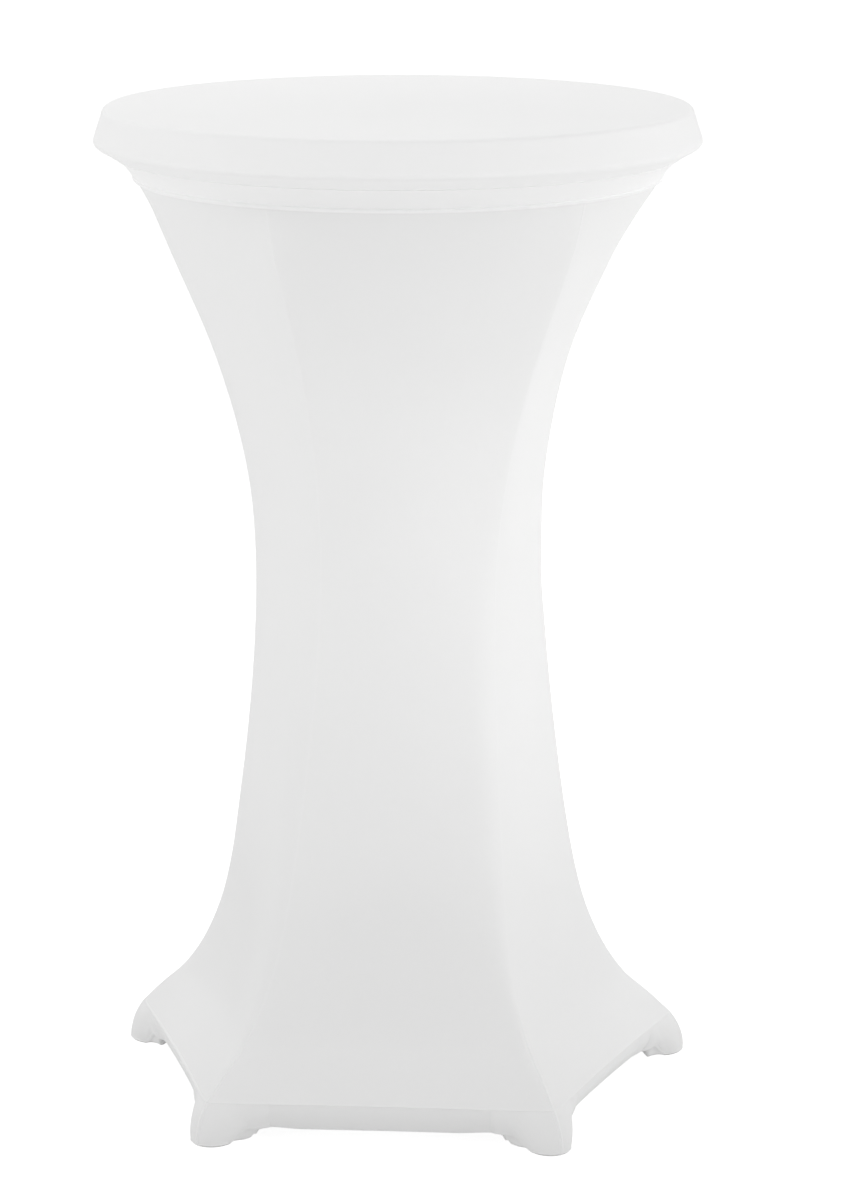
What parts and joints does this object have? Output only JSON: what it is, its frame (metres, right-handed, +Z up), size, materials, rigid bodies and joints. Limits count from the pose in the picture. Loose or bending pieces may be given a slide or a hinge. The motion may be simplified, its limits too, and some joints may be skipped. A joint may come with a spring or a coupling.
{
  "type": "stretch table cover on a bar table",
  "caption": "Round bar-height table in a white stretch cover: loose round topper, collar, waisted side panels seamed from foot to collar, and toe pockets over the feet of its base.",
  "frame": {"origin": "on the floor, under the middle of the round top", "axes": "+Z up along the column, +Y towards the middle of one foot"},
  "size_m": [0.6919, 0.6965, 1.15],
  "materials": {
    "topper_fabric": "white knitted stretch fabric, matt with a soft sheen",
    "elastic": "white woven elastic, matt",
    "cover_fabric": "white knitted stretch fabric, matt with a soft sheen",
    "board": "moulded resin-faced board, satin",
    "frame_paint": "powder-coated steel, fine satin texture",
    "cast_arm": "cast aluminium, powder-coated satin",
    "fasteners": "zinc-plated steel",
    "glide": "moulded black nylon"
  },
  "bodies": {
    "table_and_cover": {"cover_top": "cover_fabric", "collar_band": "cover_fabric", "collar_seam": "cover_fabric", "panel_1": "cover_fabric", "panel_2": "cover_fabric", "panel_3": "cover_fabric", "panel_4": "cover_fabric", "panel_5": "cover_fabric", "hem_band_1": "cover_fabric", "hem_band_2": "cover_fabric", "hem_band_3": "cover_fabric", "hem_band_4": "cover_fabric", "hem_band_5": "cover_fabric", "pocket_left_1": "cover_fabric", "pocket_left_2": "cover_fabric", "pocket_left_3": "cover_fabric", "pocket_left_4": "cover_fabric", "pocket_left_5": "cover_fabric", "pocket_right_1": "cover_fabric", "pocket_right_2": "cover_fabric", "pocket_right_3": "cover_fabric", "pocket_right_4": "cover_fabric", "pocket_right_5": "cover_fabric", "table_board": "board", "top_spider": "frame_paint", "column_tube": "frame_paint", "hub_plate_upper": "frame_paint", "hub_plate_lower": "frame_paint", "plate_screws": "fasteners", "tie_rod": "fasteners", "rod_washer": "fasteners", "rod_nut": "fasteners", "hub_bolts": "fasteners", "hub_nuts": "fasteners", "arm_1": "cast_arm", "arm_2": "cast_arm", "arm_3": "cast_arm", "arm_4": "cast_arm", "arm_5": "cast_arm"},
    "topper": {"top_cap": "topper_fabric", "cap_elastic": "elastic"},
    "levelling_glide_1": {"glide_1": "glide"},
    "levelling_glide_2": {"glide_2": "glide"},
    "levelling_glide_3": {"glide_3": "glide"},
    "levelling_glide_4": {"glide_4": "glide"},
    "levelling_glide_5": {"glide_5": "glide"}
  },
  "joints": [
    {"name": "topper_lift", "type": "slide", "parent": "table_and_cover", "child": "topper", "axis": [0, 0, 1], "range_m": [0, 0.12]},
    {"name": "glide_level_1", "type": "slide", "parent": "table_and_cover", "child": "levelling_glide_1", "axis": [0, 0, 1], "range_m": [0, 0.008]},
    {"name": "glide_level_2", "type": "slide", "parent": "table_and_cover", "child": "levelling_glide_2", "axis": [0, 0, 1], "range_m": [0, 0.008]},
    {"name": "glide_level_3", "type": "slide", "parent": "table_and_cover", "child": "levelling_glide_3", "axis": [0, 0, 1], "range_m": [0, 0.008]},
    {"name": "glide_level_4", "type": "slide", "parent": "table_and_cover", "child": "levelling_glide_4", "axis": [0, 0, 1], "range_m": [0, 0.008]},
    {"name": "glide_level_5", "type": "slide", "parent": "table_and_cover", "child": "levelling_glide_5", "axis": [0, 0, 1], "range_m": [0, 0.008]}
  ]
}
